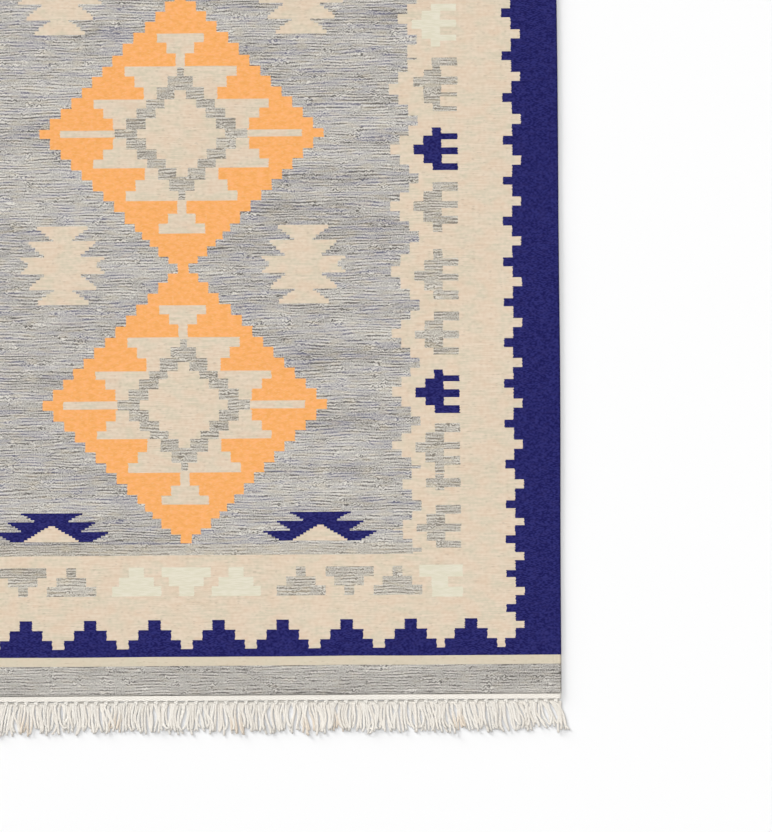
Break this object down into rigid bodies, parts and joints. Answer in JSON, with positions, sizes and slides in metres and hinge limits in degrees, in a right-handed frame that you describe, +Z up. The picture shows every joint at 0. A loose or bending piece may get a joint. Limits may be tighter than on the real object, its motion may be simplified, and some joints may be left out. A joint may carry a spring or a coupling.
{
  "type": "dhurrie rug",
  "caption": "Rectangular flat-woven wool rug with a stepped diamond pattern, plain cotton headings and knotted fringes at both ends.",
  "frame": {"origin": "on the floor under the middle of the rug", "axes": "+Z up through the thickness, +Y along the warps from the near fringe to the far one, +X across the rug"},
  "size_m": [1.246, 1.956, 0.005],
  "materials": {
    "wool_weave": "matt flat-woven wool in beige, heather grey, orange, dark blue and pale mint",
    "cotton_heading": "matt plain-woven natural white cotton",
    "cotton_fringe": "matt twisted natural white cotton yarn"
  },
  "bodies": {
    "root": {"woven_panel": "wool_weave", "heading_near": "cotton_heading", "heading_far": "cotton_heading", "fringe_near": "cotton_fringe", "fringe_far": "cotton_fringe"}
  },
  "joints": []
}
